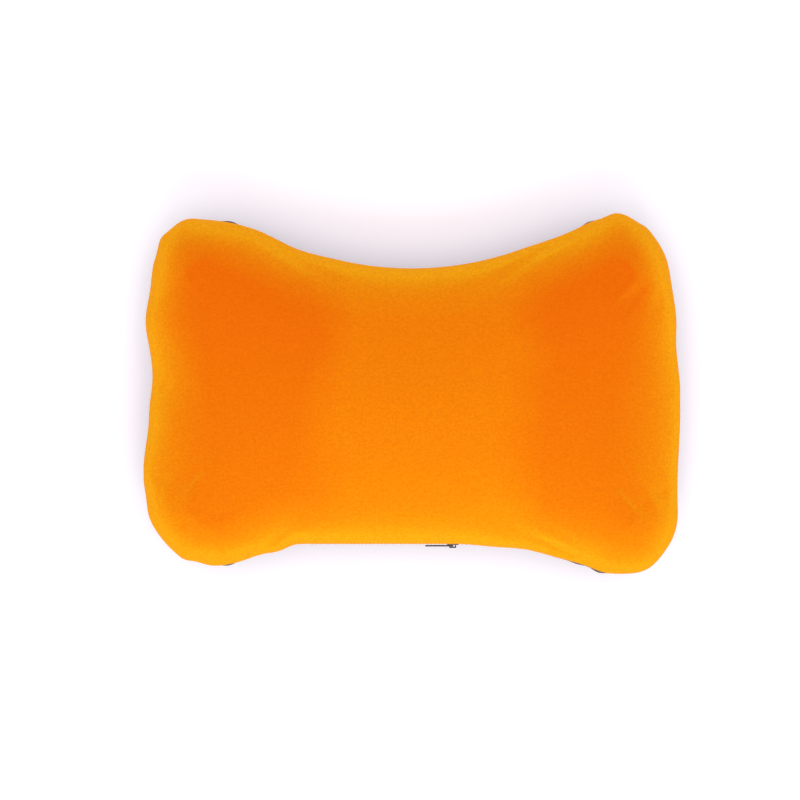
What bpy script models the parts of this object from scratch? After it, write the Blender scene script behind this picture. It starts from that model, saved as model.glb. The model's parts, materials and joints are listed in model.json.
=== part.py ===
"""Camp pillow: an air bladder under a foam topper, in a zipped two-colour fabric cover.

It lies on its underside. X runs end to end, Y from the front edge to the deeper back neck, Z up.
The origin is the middle of the face it rests on. Every size is in metres.
"""

import math

import bmesh
import bpy
from mathutils import Vector

# Overall shape
LENGTH = 0.420  # X, end to end
WIDTH = 0.279  # Y, over the corner lobes
THICKNESS = 0.096  # Z, at the crown
SEAM_HEIGHT = 0.044  # the side seam, above the resting face
FRONT_RIGHT_RADIUS = 0.048  # the corners in plan, right being +X
BACK_RIGHT_RADIUS = 0.055
BACK_LEFT_RADIUS = 0.053
FRONT_LEFT_RADIUS = 0.057
BACK_NECK_DEPTH = 0.041
BACK_NECK_RADIUS = 0.260
FRONT_NECK_DEPTH = 0.022
FRONT_NECK_RADIUS = 0.200
TOP_ROUND = 0.060  # how far in from the seam the top's round edge would take to level off
CROWN = 0.0086  # rise of the top's middle over the end of its round edge

# Fabric, foam and film
GAP = 0.0003  # between pieces that touch
COVER = 0.0010
FOAM = 0.025
SKIN = 0.0006
FLANGE_ROOM = 0.0021  # between the zip slider's back and the weld flange
FLANGE_WIDTH = 0.006
BAFFLE_COUNT = 3
BAFFLE_PITCH = 0.095
BAFFLE_LENGTH = 0.130  # Y, so that air passes round both ends
LABEL_LENGTH = 0.026
LABEL_HEIGHT = 0.012
LABEL = 0.0005

# Zip, along the straight middle of the front edge
ZIP_LENGTH = 0.100  # meshed teeth
ZIP_SHIFT = -0.0225  # their middle, along X
ZIP_END_ROOM = 0.009  # straight edge past each end of the zip
TAPE = 0.0005
TAPE_WIDTH = 0.0085
CHAIN_WIDTH = 0.0042  # both halves meshed
CHAIN_DEPTH = 0.0018
TOOTH = 0.0009
TOOTH_REACH = 0.0006  # past the chain's middle line
SPINE = 0.0009
STOP_LENGTH = 0.002
PLATE = 0.0010
SLIDER_LENGTH = 0.0092
POST_LENGTH = 0.0030
POST_WIDTH = 0.0016
LIP = 0.0006
BRIDGE_LENGTH = 0.0054
BRIDGE = 0.0010
PULL_LENGTH = 0.022
PULL_WIDTH = 0.0062
PULL = 0.0009
PULL_EYE = 0.0040  # length of the hole that the bridge passes through

# Twist valve, on the underside's slope at the +X end
VALVE_Y = -0.045
LAND_INSET = 0.004  # the flat slope it sits on starts this far in from the outline
LAND_WIDTH = 0.020  # in plan
BARREL_RADIUS = 0.0070
BARREL_WALL = 0.0018
BARREL_INSIDE = 0.0060  # below the cover's outer face
BARREL_OUTSIDE = 0.0055  # above it
NECK_WALL = 0.0010
FLANGE_REACH = 0.0030  # welded ring, out from the neck
FLANGE = 0.0012
EYELET_WALL = 0.0006
EYELET_REACH = 0.0026
EYELET = 0.0007
CAP_WALL = 0.0019
CAP_TOP = 0.0012
CAP_RIB = 0.0003
PLUG_RADIUS = 0.0024
PLUG_PROUD = 0.0004
SPIDER = 0.0014  # height and width of the bars that carry the plug
SEAL = 0.0005
SEAL_HEIGHT = 0.0006
ROUND = 32  # facets of a turned piece

TOP_RISE = THICKNESS - SEAM_HEIGHT
SMALLEST_RADIUS = min(FRONT_RIGHT_RADIUS, BACK_RIGHT_RADIUS, BACK_LEFT_RADIUS, FRONT_LEFT_RADIUS)
EDGE = SMALLEST_RADIUS - 0.008  # in from the outline, within the reach of the corners' arcs
TOP_INSETS = (0, 0.0015, 0.006, 0.014, 0.026, EDGE)
BOTTOM_INSETS = (0, 0.001, LAND_INSET, LAND_INSET + LAND_WIDTH, EDGE)
CENTRE_SHARES = (0.72, 0.40, 0.15)  # rings of the crowned middle, as shares of the last edge ring
STRAIGHT_FLANK = 0.97  # most of the largest neck radius, which leaves some straight flank
BLADDER_SHARES = (0.08, 0.4, 1)  # points of the bladder's round rise, from its weld to the flat middle
ARC_TOLERANCE = 0.0004  # how far an arc's chords may lie inside it
UNDER_COVER = COVER + GAP
ZIP_START = ZIP_SHIFT - ZIP_LENGTH / 2
ZIP_END = ZIP_SHIFT + ZIP_LENGTH / 2
SLIDER_END = ZIP_END + SLIDER_LENGTH
SLIDER_X = ZIP_END + SLIDER_LENGTH / 2
STOPS_START = ZIP_START - GAP - STOP_LENGTH
STOPS_END = SLIDER_END + GAP + STOP_LENGTH
SLIDER_HEIGHT = CHAIN_WIDTH + 2 * (GAP + LIP)
TAPE_EDGE = POST_WIDTH / 2 + GAP  # its inner edge, from the chain's middle line
FRONT_Y = FRONT_NECK_DEPTH - WIDTH / 2
BACK_Y = WIDTH / 2 - BACK_NECK_DEPTH
NECK_RADIUS = BARREL_RADIUS + GAP  # bore of what the barrel passes through

ORANGE_MICROSUEDE = (0.90, 0.22, 0.010), 0.85, 0.0  # base colour, roughness, metallic
DARK_KNIT = (0.022, 0.014, 0.022), 0.80, 0.0
ZIP_TAPE = (0.020, 0.016, 0.020), 0.75, 0.0
ZIP_NYLON = (0.028, 0.024, 0.028), 0.40, 0.0
ZIP_METAL = (0.060, 0.058, 0.060), 0.35, 0.8
LABEL_SATIN = (0.80, 0.79, 0.76), 0.50, 0.0
OPEN_CELL_FOAM = (0.78, 0.76, 0.70), 0.90, 0.0
BLADDER_FILM = (0.33, 0.36, 0.38), 0.35, 0.0
VALVE_PLASTIC = (0.030, 0.030, 0.033), 0.45, 0.0
VALVE_TPU = (0.16, 0.17, 0.18), 0.50, 0.0
SEAL_RUBBER = (0.30, 0.06, 0.03), 0.55, 0.0


# ---------------------------------------------------------------- objects and materials


def clear_scene():
    for old in list(bpy.data.objects):
        bpy.data.objects.remove(old, do_unlink=True)


def add(name, mesh, finish, parent=None, place=(0, 0, 0)):
    """A named part with its own material."""
    thing = bpy.data.objects.new(name, mesh)
    bpy.context.collection.objects.link(thing)
    thing.parent = parent
    thing.location = place
    colour, roughness, metallic = finish
    material = bpy.data.materials.new(name)
    material.use_nodes = True
    shader = material.node_tree.nodes["Principled BSDF"]
    shader.inputs["Base Color"].default_value = (*colour, 1)
    shader.inputs["Roughness"].default_value = roughness
    shader.inputs["Metallic"].default_value = metallic
    mesh.materials.append(material)
    return thing


def tool(name, mesh, parent=None):
    """A cutter or blank, which isn't a part."""
    thing = bpy.data.objects.new(name, mesh)
    bpy.context.collection.objects.link(thing)
    thing.parent = parent
    thing.hide_render = True
    thing.display_type = "WIRE"
    return thing


def combine(thing, operation, *others):
    for other in others:
        modifier = thing.modifiers.new(other.name, "BOOLEAN")
        modifier.operation = operation
        modifier.object = other


def finished(bm, name):
    bmesh.ops.recalc_face_normals(bm, faces=bm.faces)
    mesh = bpy.data.meshes.new(name)
    bm.to_mesh(mesh)
    bm.free()
    return mesh


def box(name, low, high):
    bm = bmesh.new()
    bmesh.ops.create_cube(bm, size=1)
    for vert in bm.verts:
        vert.co = [(h if c > 0 else l) for c, l, h in zip(vert.co, low, high)]
    return finished(bm, name)


def turned(name, profile, rib=0):
    """A body of revolution about Z from a closed loop of (radius, height) points.

    A loop that ends on the axis is closed along it. rib moves every other facet's outermost points."""
    widest = max(radius for radius, _ in profile)
    bm = bmesh.new()
    rings = []
    for radius, height in profile:
        if radius == 0:
            rings.append([bm.verts.new((0, 0, height))] * ROUND)
            continue
        ring = []
        for i in range(ROUND):
            angle = 2 * math.pi * i / ROUND
            reach = radius + (rib if radius == widest and i % 2 else 0)
            ring.append(bm.verts.new((reach * math.cos(angle), reach * math.sin(angle), height)))
        rings.append(ring)
    for a, b in zip(rings, rings[1:] + rings[:1]):
        for i in range(ROUND):
            corners = list(dict.fromkeys((a[i - 1], a[i], b[i], b[i - 1])))
            if len(corners) > 2:
                bm.faces.new(corners)
    mesh = finished(bm, name)
    mesh.shade_smooth()
    mesh.set_sharp_from_angle(angle=math.radians(40))
    return mesh


def ring(name, inner, outer, low, high):
    """A flat turned ring or tube."""
    return turned(name, [(inner, low), (outer, low), (outer, high), (inner, high)])


# ---------------------------------------------------------------- outline in plan


def arc(centre, radius, start, end, outward=1):
    """Points of an arc and the pillow's outward normal at each. outward is -1 on a concave arc."""
    steps = math.ceil(abs(end - start) / (2 * math.acos(1 - ARC_TOLERANCE / radius)))
    points = []
    for step in range(steps + 1):
        angle = start + (end - start) * step / steps
        ray = Vector((math.cos(angle), math.sin(angle)))
        points.append((centre + ray * radius, ray * outward))
    return points


def neck_fit(run, depth, corner):
    """The largest neck radius that leaves a straight flank before a corner arc, run away in X."""
    return STRAIGHT_FLANK * ((run * run + depth * depth) / (2 * depth) - corner)


def flank_slope(run, depth, corner, radius):
    """The angle that a neck arc and a corner arc both turn through, to the straight flank between them."""
    rise = radius + corner - depth
    return math.atan2(run, rise) - math.acos((radius + corner) / math.hypot(run, rise))


def corner_arc(radius, x_side, y_side, start, end):
    """The arc of a corner, in the quadrant that the sides' signs give."""
    centre = Vector((x_side * (LENGTH / 2 - radius), y_side * (WIDTH / 2 - radius)))
    return arc(centre, radius, start, end)


def outline():
    """The seam line, anticlockwise from above, as (point, outward normal) pairs."""
    quarter = math.pi / 2
    start = STOPS_START - ZIP_END_ROOM
    end = STOPS_END + ZIP_END_ROOM
    right_run = LENGTH / 2 - FRONT_RIGHT_RADIUS - end
    left_run = LENGTH / 2 - FRONT_LEFT_RADIUS + start
    back_right_run = LENGTH / 2 - BACK_RIGHT_RADIUS
    back_left_run = LENGTH / 2 - BACK_LEFT_RADIUS
    right_radius = min(FRONT_NECK_RADIUS, neck_fit(right_run, FRONT_NECK_DEPTH, FRONT_RIGHT_RADIUS))
    left_radius = min(FRONT_NECK_RADIUS, neck_fit(left_run, FRONT_NECK_DEPTH, FRONT_LEFT_RADIUS))
    back_radius = min(BACK_NECK_RADIUS, neck_fit(back_right_run, BACK_NECK_DEPTH, BACK_RIGHT_RADIUS),
                      neck_fit(back_left_run, BACK_NECK_DEPTH, BACK_LEFT_RADIUS))
    right = flank_slope(right_run, FRONT_NECK_DEPTH, FRONT_RIGHT_RADIUS, right_radius)
    left = flank_slope(left_run, FRONT_NECK_DEPTH, FRONT_LEFT_RADIUS, left_radius)
    back_right = flank_slope(back_right_run, BACK_NECK_DEPTH, BACK_RIGHT_RADIUS, back_radius)
    back_left = flank_slope(back_left_run, BACK_NECK_DEPTH, BACK_LEFT_RADIUS, back_radius)
    right_centre = Vector((end, FRONT_Y - right_radius))
    left_centre = Vector((start, FRONT_Y - left_radius))
    back_centre = Vector((0, BACK_Y + back_radius))
    points = arc(right_centre, right_radius, quarter, quarter - right, outward=-1)
    points += corner_arc(FRONT_RIGHT_RADIUS, 1, -1, -quarter - right, 0)
    points += corner_arc(BACK_RIGHT_RADIUS, 1, 1, 0, quarter + back_right)
    points += arc(back_centre, back_radius, back_right - quarter, -back_left - quarter, outward=-1)
    points += corner_arc(BACK_LEFT_RADIUS, -1, 1, quarter - back_left, 2 * quarter)
    points += corner_arc(FRONT_LEFT_RADIUS, -1, -1, 2 * quarter, 3 * quarter + left)
    points += arc(left_centre, left_radius, quarter + left, quarter, outward=-1)
    return points


OUTLINE = outline()


# ---------------------------------------------------------------- sections and shells


def quarter_round(share):
    """Height of a quarter ellipse, as a share, at a share of its width."""
    return math.sqrt(1 - (1 - share) ** 2)


def cover_top():
    """(inset, height) points of the cover's outside above the seam."""
    rise = (TOP_RISE - CROWN) / quarter_round(EDGE / TOP_ROUND)
    points = [(inset, SEAM_HEIGHT + rise * quarter_round(inset / TOP_ROUND)) for inset in TOP_INSETS]
    return [(0, SEAM_HEIGHT + GAP / 2)] + points[1:]


def cover_bottom():
    """(inset, height) points of the cover's outside below the seam."""
    points = [(inset, SEAM_HEIGHT * (1 - quarter_round(inset / EDGE))) for inset in BOTTOM_INSETS]
    return [(0, SEAM_HEIGHT - GAP / 2)] + points[1:]


def moved_in(section, depth):
    """A section moved depth inwards, every facet parallel to its own, and level past its last point.

    The first point keeps its height on a steep facet, and its inset on a level one."""
    turn = 1 if section[-1][1] > section[0][1] else -1  # +1 on a top, whose inside is below it
    normals = []
    for (d0, z0), (d1, z1) in zip(section, section[1:]):
        run = math.hypot(d1 - d0, z1 - z0)
        normals.append((turn * (z1 - z0) / run, -turn * (d1 - d0) / run))
    normals.append((0, -turn))
    (d, z), first = section[0], normals[0]
    steep = abs(first[0]) > abs(first[1])
    moved = [(d + depth / first[0], z) if steep else (d, z + depth / first[1])]
    for (d, z), a, b in zip(section[1:], normals, normals[1:]):
        share = depth / (1 + a[0] * b[0] + a[1] * b[1])
        moved.append((d + (a[0] + b[0]) * share, z + (a[1] + b[1]) * share))
    return moved


def at_height(section, height):
    """The inset of a section's first crossing of a height."""
    for (d0, z0), (d1, z1) in zip(section, section[1:]):
        if (z0 - height) * (z1 - height) <= 0:
            return d0 + (d1 - d0) * (height - z0) / (z1 - z0)
    return section[-1][0]


def clipped(section, inset):
    """A section without what lies outside an inset."""
    for (d0, z0), (d1, z1) in zip(section, section[1:]):
        if d0 <= inset < d1:
            start = (inset, z0 + (z1 - z0) * (inset - d0) / (d1 - d0))
    return [start] + [point for point in section if point[0] > inset]


def tape_inset():
    """How far in the zip's tapes lie, to clear the cover's inside over their whole width."""
    reach = TAPE_EDGE + TAPE_WIDTH
    above = at_height(moved_in(cover_top(), COVER), SEAM_HEIGHT + reach)
    below = at_height(moved_in(cover_bottom(), COVER), SEAM_HEIGHT - reach)
    return max(above, below) + GAP


def flange_insets():
    """The outer and inner edges of the bladder's weld flange, behind the zip's slider."""
    outer = tape_inset() + TAPE + GAP + PLATE + FLANGE_ROOM
    return outer, outer + FLANGE_WIDTH


def bladder_top():
    """The bladder's outside above the seam: the weld flange, then a round rise under the foam."""
    edge_height = cover_top()[-1][1] - UNDER_COVER - FOAM - GAP
    flange = SEAM_HEIGHT + GAP / 2 + SKIN
    outer, inner = flange_insets()
    points = [(outer, flange), (inner, flange)]
    for share in BLADDER_SHARES:
        inset = inner + (EDGE - inner) * share
        points.append((inset, flange + (edge_height - flange) * quarter_round(share)))
    return points


def bladder_bottom():
    """The bladder's outside below the seam: the weld flange, then a bulge out to the cover's slope."""
    flange = SEAM_HEIGHT - GAP / 2 - SKIN
    resting = moved_in(cover_bottom(), UNDER_COVER)
    return [(inset, flange) for inset in flange_insets()] + resting[2:]


def top_rings(section, peak):
    """Rings of 3-D points along a section, then up a gentle crown to a middle point."""
    rings = flat_rings(section)
    edge, rise = rings[-1], peak - section[-1][1]
    for share in CENTRE_SHARES:
        height = peak - rise * share * share
        rings.append([Vector((p.x * share, p.y * share, height)) for p in edge])
    return rings + [[Vector((0, 0, peak))]]


def flat_rings(section):
    """Rings of 3-D points along a section, which end at a flat middle."""
    rings = []
    for inset, height in section:
        rings.append([Vector((*(p - n * inset), height)) for p, n in OUTLINE])
    return rings


def shell(name, upper, lower):
    """A closed body between an upper and a lower list of rings, which meet along a rim."""
    bm = bmesh.new()
    top, bottom = [[[bm.verts.new(p) for p in ring] for ring in rings] for rings in (upper, lower)]
    for rings in (top, bottom, [top[0], bottom[0]]):
        for outer, inner in zip(rings, rings[1:]):
            for i in range(len(outer)):
                tip = [inner[0]] if len(inner) == 1 else [inner[i], inner[i - 1]]
                bm.faces.new([outer[i - 1], outer[i]] + tip)
    for rings in (top, bottom):
        if len(rings[-1]) > 1:
            bm.faces.new(rings[-1])
    return finished(bm, name)


# ---------------------------------------------------------------- cover, foam and bladder


def make_cover():
    top, bottom = cover_top(), cover_bottom()
    upper = top_rings(top, THICKNESS)
    upper_inside = top_rings(moved_in(top, COVER), THICKNESS - COVER)
    top_panel = add("cover_top_panel", shell("cover_top_panel", upper, upper_inside), ORANGE_MICROSUEDE)
    lower_inside = flat_rings(moved_in(bottom, COVER))
    lower = flat_rings(bottom)
    bottom_panel = add("cover_bottom_panel", shell("cover_bottom_panel", lower_inside, lower), DARK_KNIT)
    half = SLIDER_HEIGHT / 2 + GAP
    through = (-COVER - PLATE, 5 * COVER)
    along = (STOPS_START - GAP, STOPS_END + GAP)
    slot = tool("zip_slot", zip_box("zip_slot", along, through, (-half, half)))
    combine(top_panel, "DIFFERENCE", slot)
    combine(bottom_panel, "DIFFERENCE", slot)
    return bottom_panel


def make_topper():
    upper = clipped(moved_in(cover_top(), UNDER_COVER), flange_insets()[0])
    lower = moved_in(bladder_top(), -GAP)
    peak = THICKNESS - UNDER_COVER
    add("foam_topper", shell("foam_topper", top_rings(upper, peak), top_rings(lower, peak - FOAM)),
        OPEN_CELL_FOAM)


def bladder_surfaces(depth):
    """The upper and lower rings of the bladder's outside, moved depth inwards."""
    peak = THICKNESS - UNDER_COVER - FOAM - GAP
    upper = top_rings(moved_in(bladder_top(), depth), peak - depth)
    return upper, flat_rings(moved_in(bladder_bottom(), depth))


def make_bladder():
    upper, lower = bladder_surfaces(0)
    upper_inside, lower_inside = bladder_surfaces(SKIN)
    add("bladder_upper_skin", shell("bladder_upper_skin", upper, upper_inside), BLADDER_FILM)
    return add("bladder_lower_skin", shell("bladder_lower_skin", lower_inside, lower), BLADDER_FILM)


def make_baffles():
    """Webs that hold the bladder's two skins at their distance.

    They end a double gap short of the skins, whose crowned middles aren't quite parallel."""
    upper, lower = bladder_surfaces(SKIN + 2 * GAP)
    air = tool("bladder_air", shell("bladder_air", upper[1:], lower[1:]))
    middle = (FRONT_Y + BACK_Y) / 2
    for i in range(BAFFLE_COUNT):
        x = (i - (BAFFLE_COUNT - 1) / 2) * BAFFLE_PITCH
        name = f"bladder_baffle_{i + 1}"
        web = box(name, (x - SKIN / 2, middle - BAFFLE_LENGTH / 2, 0),
                  (x + SKIN / 2, middle + BAFFLE_LENGTH / 2, THICKNESS))
        combine(add(name, web, BLADDER_FILM), "INTERSECT", air)


def make_label():
    """A blank label, sewn into the seam inside the -X end."""
    top = SEAM_HEIGHT - GAP
    inset = at_height(moved_in(cover_bottom(), COVER), top - LABEL_HEIGHT) + GAP
    x = inset - LENGTH / 2
    add("care_label", box("care_label", (x, -LABEL_LENGTH / 2, top - LABEL_HEIGHT),
                          (x + LABEL, LABEL_LENGTH / 2, top)), LABEL_SATIN)


# ---------------------------------------------------------------- zip


def front(x, inset, height):
    """A point at the front edge, inset from it and a height above the seam."""
    return Vector((x, FRONT_Y + inset, SEAM_HEIGHT + height))


def zip_box(name, x, insets, heights, side=1):
    """A box along the front edge, mirrored below the seam where side is -1."""
    low, high = sorted((heights[0] * side, heights[1] * side))
    return box(name, front(x[0], insets[0], low), front(x[1], insets[1], high))


def comb(name, side, insets):
    """Half of the meshed chain: a spine with teeth, extruded through its depth."""
    pitch = 2 * (TOOTH + GAP)
    root, back = CHAIN_WIDTH / 2 - SPINE, CHAIN_WIDTH / 2
    first = ZIP_START + (pitch / 2 if side < 0 else 0)
    edge = [(SLIDER_END, root), (SLIDER_END, back), (ZIP_START, back), (ZIP_START, root)]
    for i in range(int((ZIP_END - first - TOOTH) / pitch) + 1):
        x = first + i * pitch
        edge += [(x, root), (x, -TOOTH_REACH), (x + TOOTH, -TOOTH_REACH), (x + TOOTH, root)]
    edge = [point for i, point in enumerate(edge) if point != edge[i - 1]]
    bm = bmesh.new()
    face = bm.faces.new([bm.verts.new(front(x, insets[0], z * side)) for x, z in edge])
    depth = insets[1] - insets[0]
    moved = bmesh.ops.extrude_face_region(bm, geom=[face], use_keep_orig=True)["geom"]
    for vert in moved:
        if isinstance(vert, bmesh.types.BMVert):
            vert.co.y += depth
    return finished(bm, name)


def make_zip():
    tape = tape_inset()
    chain = (tape - GAP - CHAIN_DEPTH, tape - GAP)
    half = CHAIN_WIDTH / 2
    tape_ends = (STOPS_START - STOP_LENGTH, STOPS_END + STOP_LENGTH)
    for side, word in ((1, "upper"), (-1, "lower")):
        name = f"zip_tape_{word}"
        add(name, zip_box(name, tape_ends, (tape, tape + TAPE), (TAPE_EDGE, TAPE_EDGE + TAPE_WIDTH), side),
            ZIP_TAPE)
        name = f"zip_coil_{word}"
        add(name, comb(name, side, chain), ZIP_NYLON)
        name = f"zip_top_stop_{word}"
        add(name, zip_box(name, (STOPS_END - STOP_LENGTH, STOPS_END), chain, (half - SPINE, half), side),
            ZIP_METAL)
    add("zip_bottom_stop", zip_box("zip_bottom_stop", (STOPS_START, STOPS_START + STOP_LENGTH), chain,
                                   (-half, half)), ZIP_METAL)
    outside = chain[0] - GAP - PLATE
    make_slider(outside, chain[0] - GAP, tape)
    make_pull(outside)


def make_slider(outside, channel, tape):
    """Two plates on a post between the chain's halves, lips over their backs, and a bridge for the pull."""
    half = SLIDER_HEIGHT / 2
    back = tape + TAPE + GAP
    ends = (ZIP_END, SLIDER_END)
    post = (SLIDER_X - POST_LENGTH / 2, SLIDER_X + POST_LENGTH / 2)
    body = add("zip_slider_body", zip_box("zip_slider_body", ends, (outside, channel), (-half, half)),
               ZIP_METAL)
    through = (outside + PLATE / 2, back + PLATE / 2)
    pieces = {"slider_back": (ends, (back, back + PLATE), (-half, half)),
              "slider_post": (post, through, (-POST_WIDTH / 2, POST_WIDTH / 2))}
    for side, word in ((1, "upper"), (-1, "lower")):
        heights = sorted((side * half, side * (half - LIP)))
        pieces[f"slider_lip_{word}"] = ends, (outside + PLATE / 2, tape - GAP), heights
    top = outside - PULL - 2 * GAP - BRIDGE
    bridge = (SLIDER_X - BRIDGE_LENGTH / 2, SLIDER_X + BRIDGE_LENGTH / 2)
    width = (-BRIDGE / 2, BRIDGE / 2)
    pieces["slider_bridge_left"] = (bridge[0], bridge[0] + BRIDGE), (top, outside + PLATE / 2), width
    pieces["slider_bridge_right"] = (bridge[1] - BRIDGE, bridge[1]), (top, outside + PLATE / 2), width
    pieces["slider_bridge_bar"] = bridge, (top, top + BRIDGE), width
    for name, (x, insets, heights) in pieces.items():
        combine(body, "UNION", tool(name, zip_box(name, x, insets, heights)))


def make_pull(outside):
    """A flat tab, hinged where its end bar passes under the slider's bridge."""
    hinge = front(SLIDER_X, outside - GAP - PULL / 2, 0)
    half, eye = PULL / 2, PULL_WIDTH / 2 - 2 * PULL
    tab = box("zip_pull_tab", (half - PULL_LENGTH, -half, -PULL_WIDTH / 2), (half, half, PULL_WIDTH / 2))
    pull = add("zip_pull_tab", tab, ZIP_METAL, place=hinge)
    hole = box("pull_eye", (-half - PULL_EYE, -PULL, -eye), (-half, PULL, eye))
    hole = tool("pull_eye", hole, parent=pull)
    combine(pull, "DIFFERENCE", hole)


# ---------------------------------------------------------------- valve


def valve_seat():
    """An empty in the middle of the cover's flat slope at the +X end, with its Z pointing out of it."""
    (d0, z0), (d1, z1) = cover_bottom()[2:4]
    outward = Vector((z0 - z1, 0, d0 - d1)).normalized()
    seat = bpy.data.objects.new("valve_seat", None)
    bpy.context.collection.objects.link(seat)
    seat.location = (LENGTH / 2 - (d0 + d1) / 2, VALVE_Y, (z0 + z1) / 2)
    seat.rotation_euler = outward.to_track_quat("Z", "Y").to_euler()
    return seat


def grooved(radius, low, high, groove, depth):
    """Points along a turned wall from low to high, with a groove for a seal cut depth outwards."""
    root = radius + depth
    start, end = groove - SEAL_HEIGHT / 2 - GAP, groove + SEAL_HEIGHT / 2 + GAP
    return [(radius, low), (radius, start), (root, start), (root, end), (radius, end), (radius, high)]


def make_valve(cover, skin):
    """Heights run out along the valve's axis, from the cover's outer face."""
    seat = valve_seat()
    bore = BARREL_RADIUS - BARREL_WALL
    skin_inside = -UNDER_COVER - SKIN
    flange_top = skin_inside - GAP
    flange_bottom = flange_top - FLANGE
    neck_radius = NECK_RADIUS + NECK_WALL
    cap_inside = BARREL_OUTSIDE + GAP
    cap_outside = cap_inside + CAP_TOP
    cap_seal = BARREL_OUTSIDE - SEAL_HEIGHT - 2 * GAP
    plug_seal = cap_inside + CAP_TOP / 2
    groove = SEAL + GAP

    add("valve_flange", turned("valve_flange", [
        (NECK_RADIUS, -BARREL_INSIDE), (neck_radius, -BARREL_INSIDE), (neck_radius, flange_bottom),
        (neck_radius + FLANGE_REACH, flange_bottom), (neck_radius + FLANGE_REACH, flange_top),
        (NECK_RADIUS, flange_top)]), VALVE_TPU, seat)

    barrel = add("valve_barrel", ring("valve_barrel", bore, BARREL_RADIUS, -BARREL_INSIDE, BARREL_OUTSIDE),
                 VALVE_PLASTIC, seat)
    plug = grooved(PLUG_RADIUS, -SPIDER, cap_outside + PLUG_PROUD, plug_seal, -groove)
    blanks = [tool("valve_plug", turned("valve_plug", [(0, -SPIDER)] + plug + [
        (0, cap_outside + PLUG_PROUD)]), seat)]
    long, half = bore + BARREL_WALL / 2, SPIDER / 2
    for name, x, y in (("spider_long", long, half), ("spider_cross", half, long)):
        blanks.append(tool(name, box(name, (-x, -y, -SPIDER * 0.75), (x, y, SPIDER / 4)), seat))
    combine(barrel, "UNION", *blanks)

    for name, bore, height in (("valve_cap_seal", NECK_RADIUS, cap_seal),
                               ("valve_plug_seal", PLUG_RADIUS - SEAL, plug_seal)):
        add(name, ring(name, bore, bore + SEAL, height - SEAL_HEIGHT / 2, height + SEAL_HEIGHT / 2),
            SEAL_RUBBER, seat)

    eyelet_wall = NECK_RADIUS + EYELET_WALL
    rim = eyelet_wall + EYELET_REACH
    add("cover_eyelet", turned("cover_eyelet", [
        (NECK_RADIUS, -COVER), (eyelet_wall, -COVER), (eyelet_wall, GAP), (rim, GAP), (rim, GAP + EYELET),
        (NECK_RADIUS, GAP + EYELET)]), ZIP_METAL, seat)

    skirt = NECK_RADIUS + CAP_WALL
    skirt_end = GAP + EYELET + GAP
    hole = PLUG_RADIUS + GAP
    inside = grooved(NECK_RADIUS, skirt_end, cap_inside, cap_seal, groove)
    outside = [(hole, cap_inside), (hole, cap_outside), (skirt, cap_outside), (skirt, skirt_end)]
    add("valve_cap", turned("valve_cap", inside + outside, rib=CAP_RIB), VALVE_PLASTIC, seat)

    cover_hole = tool("cover_hole", turned("cover_hole", drill(eyelet_wall + GAP)), seat)
    skin_hole = tool("skin_hole", turned("skin_hole", drill(NECK_RADIUS)), seat)
    combine(cover, "DIFFERENCE", cover_hole)
    combine(skin, "DIFFERENCE", skin_hole)


def drill(radius):
    """A solid round cutter through the cover and the bladder's skin."""
    return [(0, -BARREL_INSIDE), (radius, -BARREL_INSIDE), (radius, BARREL_OUTSIDE), (0, BARREL_OUTSIDE)]


clear_scene()
cover_panel = make_cover()
make_topper()
bladder_skin = make_bladder()
make_baffles()
make_label()
make_zip()
make_valve(cover_panel, bladder_skin)
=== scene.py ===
"""The looks of a camp pillow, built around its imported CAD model.

The cover's two panels are modelled as sewn fabric, swollen by a cloth simulation. The zip gets coils and
stitches, and the hard parts get bevels. Every size is in metres, in the model's own frame.
"""

import json
import math

import bmesh
import bpy
import numpy as np
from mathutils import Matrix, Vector
from mathutils.bvhtree import BVHTree


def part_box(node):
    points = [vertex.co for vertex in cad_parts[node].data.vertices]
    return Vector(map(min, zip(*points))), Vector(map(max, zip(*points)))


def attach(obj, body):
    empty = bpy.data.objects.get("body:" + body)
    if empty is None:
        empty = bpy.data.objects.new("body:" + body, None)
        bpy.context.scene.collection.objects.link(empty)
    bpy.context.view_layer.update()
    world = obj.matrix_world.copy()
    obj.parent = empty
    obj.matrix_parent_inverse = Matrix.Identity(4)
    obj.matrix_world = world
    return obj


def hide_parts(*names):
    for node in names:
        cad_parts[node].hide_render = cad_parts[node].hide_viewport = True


# Outline in plan: the corner circles and neck circles that the seam runs round, as in the CAD
FRONT_RIGHT, BACK_RIGHT, BACK_LEFT, FRONT_LEFT = 0.048, 0.055, 0.053, 0.057
BACK_NECK, FRONT_NECK_RIGHT, FRONT_NECK_LEFT = 0.2507, 0.200, 0.061
FRONT_Y, BACK_Y = -0.1175, 0.0985  # the seam at the middle of each neck
STRAIGHT = (-0.0838, 0.048)  # ends of the straight front edge, which holds the zip

# The fabric's grid
LONG_SIDE, SHORT_SIDE = 148, 88  # points along the front or back, and along an end
RINGS = 18  # from the seam to the middle patch
SPACED_AT = 0.028  # the inset at which the points are evenly spaced
PATCH_INSET = 0.038  # where the middle patch starts, in from the seam
OUTLINE_STEP = 0.0005  # between the points laid round the outline's circles
TOP_ROUND, TOP_RISE = 0.060, 0.0460  # the quarter ellipse of the top's edge
BOTTOM_ROUND = 0.040
CROWN = 0.0086  # the middle's rise over the edge of the patch
CROWN_SQUARENESS = 4.5  # how far the crown stays level along the pillow
EVEN_BAND = (0.016, 0.032)  # insets over which the smoothing sets in
EVEN_ROUNDS = 24
FABRIC = 0.0010
HEM = 1  # marks the turned-in hem's faces while a panel is made

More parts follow.
